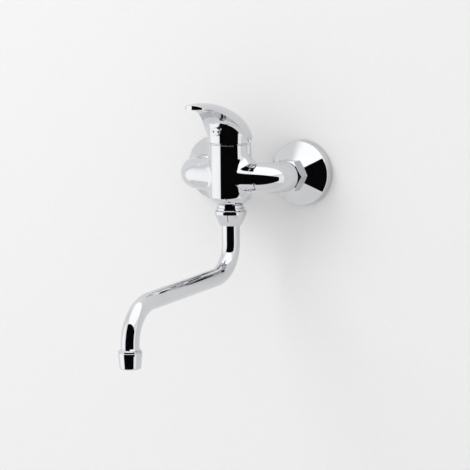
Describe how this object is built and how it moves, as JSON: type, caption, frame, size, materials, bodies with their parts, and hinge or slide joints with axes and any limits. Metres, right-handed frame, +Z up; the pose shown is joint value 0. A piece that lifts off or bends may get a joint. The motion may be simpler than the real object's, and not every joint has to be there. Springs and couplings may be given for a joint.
{
  "type": "basin mixer tap",
  "caption": "Wall-mounted basin mixer tap: cast body on wall unions with round rosettes, a lever on top that lifts and turns, and a long swivelling S-bent spout below.",
  "frame": {"origin": "midway between the wall inlets, on the face of the wall", "axes": "+Z up, +Y into the wall, so the spout and the lever point along -Y; +X to the right for someone facing the tap, cold side"},
  "size_m": [0.166, 0.2697, 0.2434],
  "materials": {
    "plated_chrome": "bright electroplated chrome",
    "raw_brass": "machined brass, unplated",
    "washer_rubber": "black rubber",
    "white_ceramic": "lapped white ceramic",
    "moulded_plastic": "moulded white plastic",
    "turret_plastic": "moulded grey plastic",
    "steel": "turned steel",
    "plug_plastic": "chrome-look plastic cap",
    "hot_red": "red inlay",
    "cold_blue": "blue inlay"
  },
  "bodies": {
    "base": {"mixer_body": "plated_chrome", "hot_wall_union": "raw_brass", "cold_wall_union": "raw_brass", "hot_union_washer": "washer_rubber", "cold_union_washer": "washer_rubber", "hot_seat_nipple": "raw_brass", "cold_seat_nipple": "raw_brass", "hot_union_nut": "plated_chrome", "cold_union_nut": "plated_chrome", "hot_rosette": "plated_chrome", "cold_rosette": "plated_chrome", "spout_nut": "plated_chrome", "slip_ring": "moulded_plastic", "cartridge_base": "moulded_plastic", "port_seals": "washer_rubber", "fixed_disc": "white_ceramic", "cartridge_housing": "moulded_plastic", "cartridge_nut": "raw_brass", "cover_ring": "plated_chrome"},
    "turret": {"lever_turret": "turret_plastic", "spindle_pin": "steel"},
    "lever": {"lever_handle": "plated_chrome", "lever_spindle": "steel", "grub_screw": "steel", "index_plug": "plug_plastic", "hot_mark": "hot_red", "cold_mark": "cold_blue"},
    "valve_slide": {"moving_disc": "white_ceramic", "disc_carrier": "turret_plastic"},
    "spout": {"spout_ferrule": "raw_brass", "spout_seals": "washer_rubber", "spout_tube": "plated_chrome", "spout_end_bush": "plated_chrome", "aerator_gasket": "washer_rubber", "aerator_housing": "plated_chrome", "aerator_insert": "moulded_plastic"}
  },
  "joints": [
    {"name": "lever_turn", "type": "hinge", "parent": "base", "child": "turret", "pos_m": [0, -0.06, 0.0255], "axis": [0, 0, 1], "range_deg": [-45, 45]},
    {"name": "lever_lift", "type": "hinge", "parent": "turret", "child": "lever", "pos_m": [0, -0.06, 0.0255], "axis": [-1, 0, 0], "range_deg": [0, 20]},
    {"name": "disc_slide", "type": "slide", "parent": "turret", "child": "valve_slide", "axis": [0, -1, 0], "range_m": [0, 0.00245]},
    {"name": "spout_swivel", "type": "hinge", "parent": "base", "child": "spout", "pos_m": [0, -0.06, -0.035], "axis": [0, 0, 1], "range_deg": [-100, 100]}
  ],
  "couplings": [
    {"joint": "disc_slide", "follows": "lever_lift", "m_per_rad": 0.00696}
  ]
}
